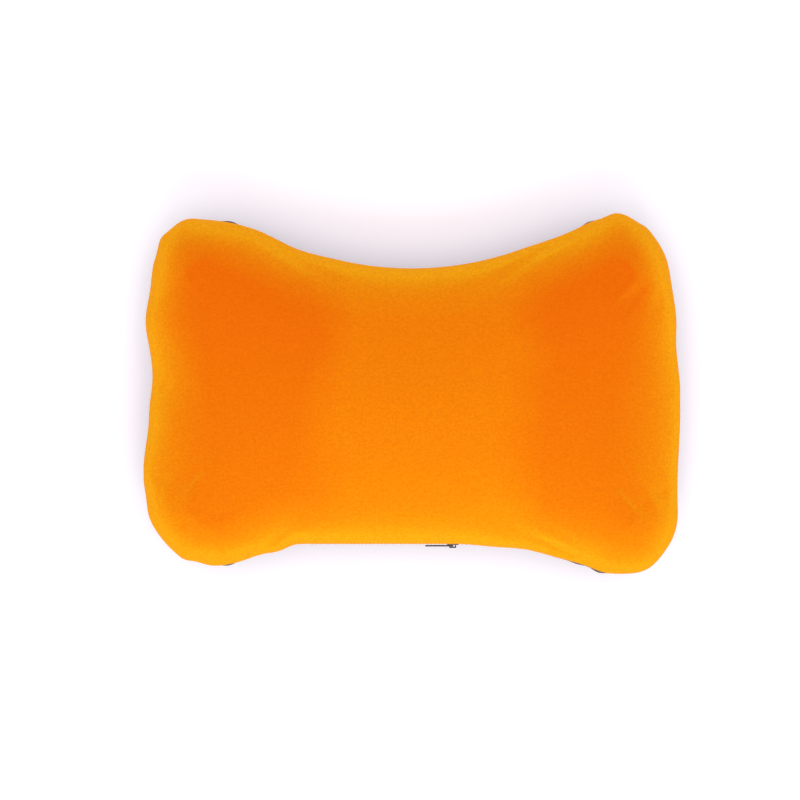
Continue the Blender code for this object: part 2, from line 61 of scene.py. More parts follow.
# How the stuffed cover settles away from its cut shape, as (x, y, reach round that place, push outwards)
SETTLED = [
    (-0.196, -0.122, 0.060, -0.0045),
    (-0.150, -0.139, 0.045, -0.0045),
    (-0.170, -0.136, 0.014, -0.0015),
    (-0.103, -0.122, 0.014, 0.0022),
    (0.064, -0.118, 0.030, 0.0016),
    (0.152, -0.138, 0.022, 0.0018),
    (0.181, -0.136, 0.026, 0.0032),
    (0.210, -0.075, 0.060, -0.0020),
    (0.210, 0.042, 0.040, -0.0031),
    (0.208, 0.093, 0.045, -0.0070),
    (0.193, 0.122, 0.030, -0.0025),
    (0.160, 0.139, 0.020, 0.0030),
    (0.149, 0.139, 0.010, -0.0012),
    (0.183, 0.129, 0.009, 0.0010),
    (0.125, 0.133, 0.045, -0.0032),
    (-0.150, 0.139, 0.035, -0.0035),
    (-0.178, 0.134, 0.014, 0.0016),
    (-0.171, 0.137, 0.008, 0.0008),
    (-0.196, 0.122, 0.009, 0.0014),
    (-0.204, 0.109, 0.010, -0.0010),
    (-0.209, 0.092, 0.045, -0.0060),
    (-0.088, 0.116, 0.032, -0.0013),
    (-0.210, 0.014, 0.055, -0.0070),
    (-0.210, -0.030, 0.028, -0.0026),
    (-0.209, -0.084, 0.018, -0.0014),
    (-0.140, -0.138, 0.014, -0.0010),
    (-0.179, -0.131, 0.010, 0.0010),
    (-0.124, -0.135, 0.020, -0.0024),
]

# Where the lower panel rolls out past the seam, as (x, y, reach, push outwards)
PEEK_DROP = 0.0075  # it rolls out most this far under the seam
PEEKS = [
    (-0.143, 0.135, 0.011, 0.0034),
    (0.138, 0.137, 0.009, 0.0034),
    (0.116, -0.122, 0.014, 0.0020),
    (0.131, -0.130, 0.014, 0.0024),
    (0.147, -0.139, 0.012, 0.0030),
    (0.208, -0.099, 0.008, 0.0024),
    (-0.144, -0.133, 0.009, 0.0030),
]

# Cloth simulation
PRESSURE = 4.0
SLACK = 0.028  # share of extra length where the cloth has slack
SLACK_ALONG = (0.075, 0.15)  # distances from the middle over which the slack grows
SLACK_BAND = (0.008, 0.030)  # insets over which it fades
HELD = 0.0008  # the cloth is held this near the seam
CLOTH_FRAMES = 20
CLOTH_CAP = 0.004  # the furthest that the cloth may move
SLIP = 0.0005  # between the fabric and what lies under it
NEAR_COVER = 0.008  # deeper than this, an inner piece doesn't feel the cover's folds

# Zip opening
OPENING = 0.0033  # half of its height
HEM_TURN = 0.0024  # how far its edges turn in, towards the tape
HEM_FADE = 0.0075  # length over which each end closes
OPENING_PAST = 0.0006  # past the chain's stops

# Zip coils and sewing
COIL_WIRE = 0.00026
COIL_PITCH = 0.0012
COIL_REACH = 0.0006  # past the chain's middle line
COIL_STEPS = 14  # points in a turn
COIL_SHIFT = 0.25  # of a pitch, between the two coils, so that their turns mesh
STITCH_ROW = 0.0022  # above or below the opening's edge
STITCH, STITCH_PITCH = 0.0024, 0.0030
STITCHES_PAST = 0.004  # past the chain's stops
STITCH_TOP, STITCH_DIP = 0.35, 5.0  # a stitch's height and curve, in thread radii
STITCH_RAY = 0.02  # the panel is looked for from this far in front of the seam
THREAD = 0.00022
TUBE_SIDES = 6
TUBE_END = 0.45  # a tube's radius at its ends, as a share

# Valve
LAND_FLAT, LAND_FADE = 0.0125, 0.022  # from its axis
LAND_REACH = 0.02  # along its axis
EYELET_HOLE = 0.0087
HOLE_SPARE = 0.0004  # faces this far past the hole go too, before their edge is drawn in
HOLE_RIM = 0.013  # the hole's edge lies within this radius
HOLE_REACH = 0.01  # along the valve's axis

# Looks
WAVE_SCALE = math.pi / 10  # a wave texture's scale for a pitch of one metre
SUEDE_PITCH, JERSEY_PITCH = 0.0013, 0.0012  # between the knit's columns
BLACK, WHITE = (0, 0, 0), (1, 1, 1)
BEVEL_ANGLE = math.radians(35)  # sharper edges than this are rounded

# Floor and camera
FLOOR_DROP = 0.0002  # under the pillow, so that their faces don't coincide
VIEW_CENTRE = (-0.0092, -0.0047)
VIEW_WIDTH = 0.627
VIEW_DISTANCE = 1.6


# ---------------------------------------------------------------- outline


def belt(circles):
    """Points and outward normals of a belt round circles, given as (centre, radius), anticlockwise.

    A circle with a negative radius lies outside the belt."""
    turns = []
    for (a, ra), (b, rb) in zip(circles, circles[1:] + circles[:1]):
        way = b - a
        turns.append(math.atan2(way.y, way.x) - math.pi / 2 + math.asin((ra - rb) / way.length))
    points, normals = [], []
    for (centre, radius), start, end in zip(circles, turns[-1:] + turns[:-1], turns):
        sweep = (end - start + math.pi) % (2 * math.pi) - math.pi
        steps = max(2, math.ceil(abs(sweep * radius) / OUTLINE_STEP))
        for step in range(steps + 1):
            angle = start + sweep * step / steps
            ray = Vector((math.cos(angle), math.sin(angle)))
            points.append(centre + ray * radius)
            normals.append(ray)
    return np.array(points), np.array(normals)


def seam_line(half_length, half_width):
    """The seam's points and normals from the front-left corner, evenly spaced at an inset."""

    def corner(radius, x, y):
        return Vector((x * (half_length - radius), y * (half_width - radius))), radius

    points, normals = belt([
        corner(FRONT_LEFT, -1, -1),
        (Vector((STRAIGHT[0], FRONT_Y - FRONT_NECK_LEFT)), -FRONT_NECK_LEFT),
        (Vector((STRAIGHT[1], FRONT_Y - FRONT_NECK_RIGHT)), -FRONT_NECK_RIGHT),
        corner(FRONT_RIGHT, 1, -1),
        corner(BACK_RIGHT, 1, 1),
        (Vector((0, BACK_Y + BACK_NECK)), -BACK_NECK),
        corner(BACK_LEFT, -1, 1),
    ])
    inner = points - normals * SPACED_AT
    gaps = np.linalg.norm(np.diff(inner, axis=0, append=inner[:1]), axis=1)
    along = np.concatenate([[0], np.cumsum(gaps)])
    corners = []
    for way in ((-1, -1), (1, -1), (1, 1), (-1, 1)):
        opposite = points @ np.array(way) < 0
        corners.append(along[np.argmax(normals @ np.array(way) - 1e3 * opposite)])
    marks = []
    for i, count in enumerate((LONG_SIDE, SHORT_SIDE) * 2):
        run = (corners[(i + 1) % 4] - corners[i]) % along[-1]
        marks += [(corners[i] + run * k / count) % along[-1] for k in range(count)]
    columns = np.column_stack([points, normals])
    looped = np.concatenate([columns, columns[:1]])
    x, y, nx, ny = [np.interp(marks, along, values) for values in looped.T]
    normal = np.stack([nx, ny], 1)
    return np.stack([x, y], 1), normal / np.linalg.norm(normal, axis=1, keepdims=True)


def smooth_step(values, start, end):
    t = np.clip((values - start) / (end - start), 0, 1)
    return t * t * (3 - 2 * t)


def bell(distance, width):
    """1 at no distance, falling smoothly to 0 at the width."""
    return 1 - smooth_step(np.abs(distance), 0, width)


# ---------------------------------------------------------------- fabric panels


def opening_height(seam):
    """How far the seam opens for the zip at each point, as half a height."""
    x, y = seam[:, 0], seam[:, 1]
    start, end = ZIP_FROM - OPENING_PAST, ZIP_TO + OPENING_PAST
    inside = smooth_step(x, start - HEM_FADE, start) * (1 - smooth_step(x, end, end + HEM_FADE))
    return OPENING * inside * (y < 0)


def panel_grid(side):
    """The rings and the middle patch of the top (side 1) or bottom (side -1) panel."""
    seam, normal = SEAM_POINTS, SEAM_NORMALS
    width, rise = (TOP_ROUND, TOP_RISE) if side > 0 else (BOTTOM_ROUND, SEAM_Z)
    opened = opening_height(seam)
    first = np.arcsin(opened / rise)
    last = math.acos(1 - PATCH_INSET / width)
    rings = []
    for k in range(RINGS):
        angle = first + (last - first) * k / (RINGS - 1)
        inset = width * (1 - np.cos(angle))
        flat = seam - normal * inset[:, None]
        rings.append(np.column_stack([flat, SEAM_Z + side * rise * np.sin(angle)]))
    turn = np.column_stack([rings[0][:, :2] - normal * HEM_TURN, rings[0][:, 2]])
    return [turn] + rings, patch(rings[-1], side)


def patch(edge, side):
    """A grid of quads inside an edge ring, blended from its four sides."""
    a, b = LONG_SIDE, SHORT_SIDE
    front = edge[: a + 1]
    right = edge[a: a + b + 1]
    back = edge[a + b: 2 * a + b + 1][::-1]
    left = np.concatenate([edge[2 * a + b:], edge[:1]])[::-1]
    u = np.linspace(0, 1, a + 1)[:, None, None]
    v = np.linspace(0, 1, b + 1)[None, :, None]
    grid = ((1 - v) * front[:, None] + v * back[:, None] + (1 - u) * left[None] + u * right[None]
            - (1 - u) * (1 - v) * front[0] - u * (1 - v) * front[-1]
            - (1 - u) * v * back[0] - u * v * back[-1])
    if side > 0:
        x, y = grid[:, :, 0], grid[:, :, 1]
        along = (x - x[:1]) / (x[-1:] - x[:1])
        across = (y - y[:, :1]) / (y[:, -1:] - y[:, :1])
        level = 1 - np.abs(2 * along - 1) ** CROWN_SQUARENESS
        grid[:, :, 2] += CROWN * level * (1 - (2 * across - 1) ** 2)
    return grid


def panel_mesh(bm, side):
    """Adds a panel to a bmesh, from its turned-in hem to its middle patch."""
    rings, grid = panel_grid(side)
    shown = [[bm.verts.new(p) for p in ring] for ring in rings]
    a, b = LONG_SIDE, SHORT_SIDE
    edge = shown[-1]
    cells = [[None] * (b + 1) for _ in range(a + 1)]
    for i in range(a + 1):
        cells[i][0] = edge[i]
        cells[i][b] = edge[2 * a + b - i]
    for j in range(b + 1):
        cells[a][j] = edge[a + j]
        cells[0][j] = edge[-j] if j else edge[0]
    for i in range(1, a):
        for j in range(1, b):
            cells[i][j] = bm.verts.new(grid[i, j])
    for k, (outer, inner) in enumerate(zip(shown, shown[1:])):
        for i in range(len(outer)):
            face = bm.faces.new([outer[i - 1], outer[i], inner[i], inner[i - 1]])
            face.material_index = HEM if k == 0 else 0
    for i in range(a):
        for j in range(b):
            bm.faces.new([cells[i][j], cells[i + 1][j], cells[i + 1][j + 1], cells[i][j + 1]])


def mesh_object(name, bm):
    mesh = bpy.data.meshes.new(name)
    bm.to_mesh(mesh)
    bm.free()
    thing = bpy.data.objects.new(name, mesh)
    bpy.context.scene.collection.objects.link(thing)
    return thing


def baked(thing):
    """Applies a piece's modifiers to its mesh."""
    graph = bpy.context.evaluated_depsgraph_get()
    mesh = bpy.data.meshes.new_from_object(thing.evaluated_get(graph))
    thing.modifiers.clear()
    thing.data = mesh
    return thing


def places(mesh):
    values = np.empty(len(mesh.vertices) * 3)
    mesh.vertices.foreach_get("co", values)
    return values.reshape(-1, 3)


def set_places(mesh, values):
    mesh.vertices.foreach_set("co", values.astype(np.float32).ravel())
    mesh.update()


def pushed(points, pushes, weights=1.0):
    """Moves points sideways round some places, along the outline's normal at each."""
    moved = points.copy()
    for x, y, reach, push in pushes:
        nearest = np.argmin(np.hypot(SEAM_POINTS[:, 0] - x, SEAM_POINTS[:, 1] - y))
        share = bell(np.hypot(points[:, 0] - x, points[:, 1] - y), reach) * weights
        moved[:, :2] += (share * push)[:, None] * SEAM_NORMALS[nearest]
    return moved


def settled(points):
    """Moves points of a soft piece sideways, as the stuffed cover has settled."""
    return pushed(points, SETTLED)


def peeking(points):
    """Rolls the lower panel out past the seam where the upper one is drawn back."""
    low_side = bell(points[:, 2] - SEAM_MIDDLE + PEEK_DROP, PEEK_DROP)
    return pushed(points, PEEKS, low_side)


def group(thing, name, weights):
    made = thing.vertex_groups.new(name=name)
    for i, weight in enumerate(weights):
        made.add([i], float(weight), "REPLACE")
    return name


def insets(points):
    """How far in from the seam each point is, in plan."""
    nearest = np.full(len(points), 1.0)
    for x, y in SEAM_POINTS:
        nearest = np.minimum(nearest, np.hypot(points[:, 0] - x, points[:, 1] - y))
    return nearest


def evened(thing):
    """Smooths the step in slope where the middle patch meets the rings."""
    smooth = thing.modifiers.new("even", "SMOOTH")
    smooth.factor = 0.5
    smooth.iterations = EVEN_ROUNDS
    smooth.vertex_group = group(thing, "middle", smooth_step(insets(places(thing.data)), *EVEN_BAND))
    baked(thing)
    thing.vertex_groups.clear()


def swollen(thing, side):
    """Lets a panel fill out as cloth under pressure, held along its seam, with slack near it."""
    before = places(thing.data)
    inset = insets(before)
    cloth = thing.modifiers.new("cloth", "CLOTH")
    settings = cloth.settings
    settings.quality = 6
    settings.mass = 0.25
    settings.tension_stiffness = settings.compression_stiffness = 18
    settings.shear_stiffness = 8
    settings.bending_stiffness = 0.35
    settings.use_pressure = True
    settings.uniform_pressure_force = PRESSURE
    settings.effector_weights.gravity = 0
    settings.vertex_group_mass = group(thing, "held", inset < HELD)
    settings.vertex_group_shrink = group(thing, "slack", slack(before, inset))
    settings.shrink_min = 0
    settings.shrink_max = -SLACK
    cloth.point_cache.frame_start, cloth.point_cache.frame_end = 1, CLOTH_FRAMES
    for frame_number in range(1, CLOTH_FRAMES + 1):
        bpy.context.scene.frame_set(frame_number)
    graph = bpy.context.evaluated_depsgraph_get()
    evaluated = thing.evaluated_get(graph).to_mesh()
    moved = places(evaluated) - before
    thing.modifiers.clear()
    thing.vertex_groups.clear()
    bpy.context.scene.frame_set(1)
    length = np.linalg.norm(moved, axis=1, keepdims=True)
    moved *= np.minimum(1, CLOTH_CAP / np.maximum(length, 1e-9))
    after = before + moved
    if side < 0:
        after[:, 2] = np.maximum(after[:, 2], 0)
    set_places(thing.data, after)


def slack(points, inset):
    """Where the cloth has length to spare: round the corners, in a band by the seam."""
    corner = smooth_step(np.abs(points[:, 0]), *SLACK_ALONG)
    return corner * (1 - smooth_step(inset, *SLACK_BAND))


def onto_land(points):
    """Lays the fabric round the valve flat on the plane that its eyelet sits on."""
    away = points - VALVE_SEAT
    height = away @ VALVE_AXIS
    radius = np.linalg.norm(away - height[:, None] * VALVE_AXIS, axis=1)
    share = 1 - smooth_step(radius, LAND_FLAT, LAND_FADE)
    near = np.abs(height) < LAND_REACH
    return points - (share * near * height)[:, None] * VALVE_AXIS


def make_panel(name, side):
    bm = bmesh.new()
    panel_mesh(bm, side)
    bmesh.ops.recalc_face_normals(bm, faces=bm.faces)
    thing = mesh_object(name, bm)
    evened(thing)
    keep_surface(thing, PLAIN)
    swollen(thing, side)
    points = settled(places(thing.data))
    if side < 0:
        points = onto_land(peeking(points))
    set_places(thing.data, points)
    thing.modifiers.new("finer", "SUBSURF").levels = 1
    baked(thing)
    keep_surface(thing, FINAL)
    thing.data.polygons.foreach_set("material_index", [0] * len(thing.data.polygons))
    if side < 0:
        cut_eyelet_hole(thing)
    solid = thing.modifiers.new("fabric", "SOLIDIFY")
    solid.thickness = FABRIC
    solid.offset = -1
    baked(thing)
    thing.data.shade_smooth()
    return thing


PLAIN, FINAL = [], []  # the panels' outer surfaces before and after they swell and settle


def keep_surface(thing, surfaces):
    """Keeps a panel's outer surface. Its hem is left out, because what lies under that isn't outside."""
    points = [Vector(p) for p in places(thing.data)]
    faces = [tuple(face.vertices) for face in thing.data.polygons if face.material_index != HEM]
    surfaces.append(BVHTree.FromPolygons(points, faces))


def nearest_outside(surfaces, point):
    """The depth of a point under the nearest panel, and the panel's outward normal there."""
    place, normal, _, _ = min((tree.find_nearest(point) for tree in surfaces), key=lambda found: found[3])
    return (place - point).dot(normal), normal


def inside_copy(name, material, levels):
    """A soft inner piece as the settled cover shapes it: a finer copy, at its own depth under the cover."""
    source = frame["nodes"][name]
    thing = bpy.data.objects.new(f"{name}_soft", source.data.copy())
    bpy.context.scene.collection.objects.link(thing)
    finer = thing.modifiers.new("finer", "SUBSURF")
    finer.subdivision_type = "SIMPLE"
    finer.levels = levels
    baked(thing)
    plain = places(thing.data)
    points = settled(plain)
    for i, (before, after) in enumerate(zip(plain, points)):
        depth, _ = nearest_outside(PLAIN, Vector(before))
        if depth > NEAR_COVER:
            continue
        wanted = max(depth, FABRIC + SLIP)
        depth, normal = nearest_outside(FINAL, Vector(after))
        if depth < wanted:
            points[i] -= np.array(normal) * (wanted - depth)
    set_places(thing.data, points)
    thing.data.shade_smooth()
    finish_piece(thing, material, "pillow")
    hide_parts(name)
    return thing


def cut_eyelet_hole(thing):
    """Cuts the round hole for the valve, and draws the fabric in to the eyelet."""
    bm = bmesh.new()
    bm.from_mesh(thing.data)
    axis = Vector(VALVE_AXIS)
    seat = Vector(VALVE_SEAT)

    def off_axis(point):
        away = point - seat
        height = away.dot(axis)
        return away - axis * height, height

    gone = []
    for face in bm.faces:
        ray, height = off_axis(face.calc_center_median())
        if ray.length < EYELET_HOLE + HOLE_SPARE and abs(height) < HOLE_REACH:
            gone.append(face)
    bmesh.ops.delete(bm, geom=gone, context="FACES")
    for vert in bm.verts:
        ray, height = off_axis(vert.co)
        if vert.is_boundary and ray.length < HOLE_RIM and abs(height) < HOLE_REACH:
            vert.co += ray.normalized() * (EYELET_HOLE - ray.length)
    bm.to_mesh(thing.data)
    bm.free()


# ---------------------------------------------------------------- materials


class Nodes:
    """Short calls for a material's node tree."""

    def __init__(self, name):
        self.material = bpy.data.materials.new(name)
        self.material.use_nodes = True
        self.tree = self.material.node_tree
        self.shader = self.tree.nodes["Principled BSDF"]
        self.place = self.add("ShaderNodeTexCoord").outputs["Object"]

    def add(self, kind, **settings):
        node = self.tree.nodes.new(kind)
        for key, value in settings.items():
            setattr(node, key, value)
        return node

    def link(self, source, node, socket):
        self.tree.links.new(source, node.inputs[socket])

    def noise(self, scale, detail=3.0, stretch=(1, 1, 1), rough=0.5):
        mapping = self.add("ShaderNodeMapping")
        mapping.inputs["Scale"].default_value = stretch
        self.link(self.place, mapping, "Vector")
        node = self.add("ShaderNodeTexNoise")
        node.inputs["Scale"].default_value = scale
        node.inputs["Detail"].default_value = detail
        node.inputs["Roughness"].default_value = rough
        self.link(mapping.outputs["Vector"], node, "Vector")
        return node.outputs["Fac"]

    def waves(self, scale, axis, twist=0.0):
        node = self.add("ShaderNodeTexWave", bands_direction=axis)
        node.inputs["Scale"].default_value = scale
        node.inputs["Distortion"].default_value = twist
        node.inputs["Detail Scale"].default_value = 4
        self.link(self.place, node, "Vector")
        return node.outputs["Fac"]

    def math(self, operation, *values):
        node = self.add("ShaderNodeMath", operation=operation)
        for i, value in enumerate(values):
            if isinstance(value, (int, float)):
                node.inputs[i].default_value = value
            else:
                self.tree.links.new(value, node.inputs[i])
        return node.outputs[0]

    def ramp(self, value, *stops):
        node = self.add("ShaderNodeValToRGB")
        elements = node.color_ramp.elements
        while len(elements) < len(stops):
            elements.new(0.5)
        for element, (place, colour) in zip(elements, stops):
            element.position = place
            element.color = (*colour, 1)
        self.link(value, node, "Fac")
        return node.outputs["Color"]

    def mix(self, share, a, b, blend="MIX"):
        node = self.add("ShaderNodeMix", data_type="RGBA", blend_type=blend)
        for socket, value in ((0, share), (6, a), (7, b)):
            if isinstance(value, (int, float)):
                node.inputs[socket].default_value = value
            elif isinstance(value, tuple):
                node.inputs[socket].default_value = (*value, 1)
            else:
                self.tree.links.new(value, node.inputs[socket])
        return node.outputs[2]

    def bump(self, height, strength, distance, under=None):
        node = self.add("ShaderNodeBump")
        node.inputs["Strength"].default_value = strength
        node.inputs["Distance"].default_value = distance
        self.link(height, node, "Height")
        if under is not None:
            self.link(under, node, "Normal")
        return node.outputs["Normal"]

    def range(self, value, low, high):
        node = self.add("ShaderNodeMapRange")
        node.inputs["To Min"].default_value = low
        node.inputs["To Max"].default_value = high
        self.link(value, node, "Value")
        return node.outputs["Result"]

    def paint(self, **inputs):
        for name, value in inputs.items():
            socket = name.replace("_", " ")
            if isinstance(value, bpy.types.NodeSocket):
                self.link(value, self.shader, socket)
            else:
                self.shader.inputs[socket].default_value = value
        return self.material


def knit(nodes, pitch):
    """The height of a fine knit: columns of stitches crossed by finer courses."""
    columns = nodes.waves(WAVE_SCALE / pitch, "X", 2.0)
    courses = nodes.waves(WAVE_SCALE / (0.75 * pitch), "Y", 2.0)
    return nodes.math("ADD", nodes.math("MULTIPLY", columns, 0.5), nodes.math("MULTIPLY", courses, 0.5))


def microsuede():
    """Brushed orange knit: flatter nap over the middle, the front painted lighter as painted light, and a
    paler painted sheen where it turns down.
    """
    nodes = Nodes("orange_microsuede")
    split = nodes.add("ShaderNodeSeparateXYZ")
    nodes.link(nodes.place, split, "Vector")
    geometry = nodes.add("ShaderNodeNewGeometry")
    facing = nodes.add("ShaderNodeSeparateXYZ")
    nodes.link(geometry.outputs["Normal"], facing, "Vector")
    mottle = nodes.noise(11, 3, (1, 1, 0.2))
    off_middle = nodes.math("ABSOLUTE", nodes.math("SUBTRACT", split.outputs["X"], 0.015))
    ragged = nodes.math("MULTIPLY", nodes.math("SUBTRACT", mottle, 0.5), 0.09)
    middle = nodes.ramp(nodes.math("ADD", off_middle, ragged), (0.058, WHITE), (0.098, BLACK))
    # Painted light: the front of the top is painted lighter, where light from the front falls. It is mixed
    # with the real band of flatter nap over the middle.
    painted_front_light = nodes.ramp(nodes.math("ADD", split.outputs["Y"], 0.5), (0.37, WHITE), (0.58, BLACK))
    nap_and_front_light = nodes.math("ADD", nodes.math("MULTIPLY", middle, 0.42), nodes.math("MULTIPLY", painted_front_light, 0.58))
    base = nodes.mix(nap_and_front_light, (0.79, 0.137, 0.0010), (0.88, 0.285, 0.0018))
    blotches = nodes.range(nodes.noise(60, 4, (1, 1.6, 1), 0.6), 0.0, 0.30)
    base = nodes.mix(blotches, base, (0.90, 0.190, 0.0014))
    # Painted sheen: where the surface turns down from level, it is painted paler and yellower. This stands
    # in for the sheen that light gives the slopes.
    turned = nodes.math("SUBTRACT", 1.0, facing.outputs["Z"])
    painted_sheen = nodes.ramp(turned, (0.02, BLACK), (0.38, WHITE))
    base = nodes.mix(nodes.math("MULTIPLY", painted_sheen, 0.85), base, (0.98, 0.46, 0.0040))
    grain = nodes.noise(430, 4, (1, 1.4, 1), 0.7)
    tufts = nodes.ramp(grain, (0.40, BLACK), (0.60, WHITE))
    stitched = nodes.math("MULTIPLY", knit(nodes, SUEDE_PITCH), 0.5)
    fleck = nodes.math("ADD", nodes.math("MULTIPLY", tufts, 0.5), stitched)
    base = nodes.mix(nodes.math("MULTIPLY", fleck, 0.46), base, (0.62, 0.082, 0.0006))
    normal = nodes.bump(knit(nodes, SUEDE_PITCH), 0.35, 0.0003)
    normal = nodes.bump(grain, 0.5, 0.0005, normal)
    normal = nodes.bump(nodes.noise(90, 4, (1, 1, 1), 0.6), 0.35, 0.0012, normal)
    return nodes.paint(Base_Color=base, Roughness=0.95, Normal=normal, Sheen_Weight=0.22,
                       Sheen_Roughness=0.45, Sheen_Tint=(1.0, 0.42, 0.02, 1), Specular_IOR_Level=0.04)


def dark_jersey():
    """Near-black stretch knit, a little worn in patches."""
    nodes = Nodes("dark_jersey")
    weave = nodes.mix(0.5, nodes.noise(1100, 2, (1, 1, 0.4)), knit(nodes, JERSEY_PITCH))
    wear = nodes.noise(60, 4)
    base = nodes.ramp(wear, (0.35, (0.014, 0.008, 0.014)), (0.65, (0.024, 0.014, 0.023)))
    base = nodes.mix(nodes.range(weave, 0.55, 0.0), base, (0.004, 0.002, 0.004))
    normal = nodes.bump(weave, 0.7, 0.0004)
    normal = nodes.bump(nodes.noise(85, 3), 0.3, 0.0010, normal)
    rough = nodes.range(wear, 0.72, 0.86)
    return nodes.paint(Base_Color=base, Roughness=rough, Normal=normal, Sheen_Weight=0.25,
                       Sheen_Roughness=0.5, Sheen_Tint=(0.6, 0.45, 0.6, 1))


def woven_tape():
    nodes = Nodes("zip_tape_weave")
    weave = nodes.waves(900, "DIAGONAL", 0.6)
    base = nodes.ramp(weave, (0.2, (0.010, 0.007, 0.010)), (0.8, (0.034, 0.026, 0.034)))
    normal = nodes.bump(weave, 0.5, 0.0002)
    return nodes.paint(Base_Color=base, Roughness=0.75, Normal=normal, Sheen_Weight=0.15)


def plain_plastic(name, colour, roughness, grain=600, depth=0.00003):
    """Moulded plastic or film: a fine grain, with a faint change of tone and gloss over it."""
    nodes = Nodes(name)
    tone = nodes.noise(45, 4)
    darker = tuple(c * 0.8 for c in colour)
    lighter = tuple(c * 1.25 for c in colour)
    base = nodes.ramp(tone, (0.35, darker), (0.65, lighter))
    rough = nodes.range(nodes.noise(110, 3), roughness - 0.07, roughness + 0.09)
    normal = nodes.bump(nodes.noise(grain, 2), 0.25, depth)
    return nodes.paint(Base_Color=base, Roughness=rough, Normal=normal)


def painted_metal():
    """Gunmetal paint on die-cast zinc: fine brushing, and paint worn through at the edges."""
    nodes = Nodes("zip_gunmetal")
    brushed = nodes.noise(260, 4, (0.2, 1, 1))
    geometry = nodes.add("ShaderNodeNewGeometry")
    worn = nodes.ramp(geometry.outputs["Pointiness"], (0.52, BLACK), (0.62, WHITE))
    patches = nodes.math("MULTIPLY", worn, nodes.range(nodes.noise(500, 3), 0.2, 1.0))
    paint = nodes.ramp(brushed, (0.3, (0.014, 0.012, 0.015)), (0.7, (0.034, 0.031, 0.035)))
    base = nodes.mix(patches, paint, (0.30, 0.29, 0.28))
    rough = nodes.range(brushed, 0.26, 0.46)
    normal = nodes.bump(brushed, 0.2, 0.00004)
    return nodes.paint(Base_Color=base, Roughness=rough, Normal=normal, Metallic=0.4)


def foam_cells():
    nodes = Nodes("open_cell_foam")
    cells = nodes.add("ShaderNodeTexVoronoi")
    cells.inputs["Scale"].default_value = 700
    nodes.link(nodes.place, cells, "Vector")
    base = nodes.ramp(cells.outputs["Distance"], (0.1, (0.62, 0.58, 0.48)), (0.6, (0.84, 0.81, 0.73)))
    normal = nodes.bump(cells.outputs["Distance"], 0.7, 0.0006)
    return nodes.paint(Base_Color=base, Roughness=0.92, Normal=normal)


def satin_label():
    nodes = Nodes("blank_satin")
    ribs = nodes.waves(700, "Y", 0.4)
    base = nodes.ramp(ribs, (0.2, (0.72, 0.71, 0.67)), (0.8, (0.86, 0.85, 0.82)))
    return nodes.paint(Base_Color=base, Roughness=0.45, Normal=nodes.bump(ribs, 0.3, 0.0001),
                       Sheen_Weight=0.2)


def spun_thread(name, colour):
    nodes = Nodes(name)
    twist = nodes.waves(2200, "DIAGONAL", 0.5)
    base = nodes.ramp(twist, (0.2, tuple(c * 0.6 for c in colour)), (0.8, colour))
    return nodes.paint(Base_Color=base, Roughness=0.7, Normal=nodes.bump(twist, 0.5, 0.0001))


def floor_white():
    nodes = Nodes("paper_white")
    base = nodes.ramp(nodes.noise(3, 2), (0.3, (0.93, 0.93, 0.935)), (0.7, (0.95, 0.95, 0.95)))
    normal = nodes.bump(nodes.noise(400, 2), 0.05, 0.0002)
    return nodes.paint(Base_Color=base, Roughness=0.8, Normal=normal, Specular_IOR_Level=0.2,
                       Emission_Color=(1.0, 0.66, 1.0, 1), Emission_Strength=0.15)


def finish_piece(thing, material, body):
    thing.data.materials.clear()
    thing.data.materials.append(material)
    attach(thing, body)


# ---------------------------------------------------------------- zip and thread


def tube(bm, path, radius):
    """A round tube along a path of points, drawn in at its ends."""
    rings = []
    for i, point in enumerate(path):
        ahead = path[min(i + 1, len(path) - 1)] - path[max(i - 1, 0)]
        first = ahead.cross(Vector((0.3, 0.2, 1))).normalized()
        second = ahead.cross(first).normalized()
        taper = TUBE_END if i in (0, len(path) - 1) else 1
        ring = []
        for k in range(TUBE_SIDES):
            angle = 2 * math.pi * k / TUBE_SIDES
            ring.append(bm.verts.new(point + (first * math.cos(angle) + second * math.sin(angle))
                                     * radius * taper))
        rings.append(ring)
    for a, b in zip(rings, rings[1:]):
        for k in range(TUBE_SIDES):
            bm.faces.new([a[k - 1], a[k], b[k], b[k - 1]])
    bm.faces.new(rings[0])
    bm.faces.new(rings[-1][::-1])


def zip_coil(word, side, material):
    """One side's nylon coil, whose turns mesh with the other's between the stops."""
    node = f"zip_coil_{word}"
    low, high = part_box(node)
    depth = (high.y - low.y) / 2 - COIL_WIRE
    middle_y = (low.y + high.y) / 2
    back = max(abs(low.z - SEAM_Z), abs(high.z - SEAM_Z)) - COIL_WIRE
    reach = COIL_REACH - COIL_WIRE
    middle_z, half = (back - reach) / 2, (back + reach) / 2
    turns = int((high.x - low.x - 2 * COIL_WIRE) / COIL_PITCH)
    shift = COIL_SHIFT if side < 0 else 0
    path = []
    for step in range(turns * COIL_STEPS + 1):
        angle = 2 * math.pi * step / COIL_STEPS
        x = low.x + COIL_WIRE + COIL_PITCH * (step / COIL_STEPS + shift)
        path.append(Vector((x, middle_y + depth * math.sin(angle),
                            SEAM_MIDDLE + side * (middle_z + half * math.cos(angle)))))
    bm = bmesh.new()
    tube(bm, path, COIL_WIRE)
    bmesh.ops.recalc_face_normals(bm, faces=bm.faces)
    thing = mesh_object(f"{node}_turns", bm)
    thing.data.shade_smooth()
    finish_piece(thing, material, "pillow")
    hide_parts(node)


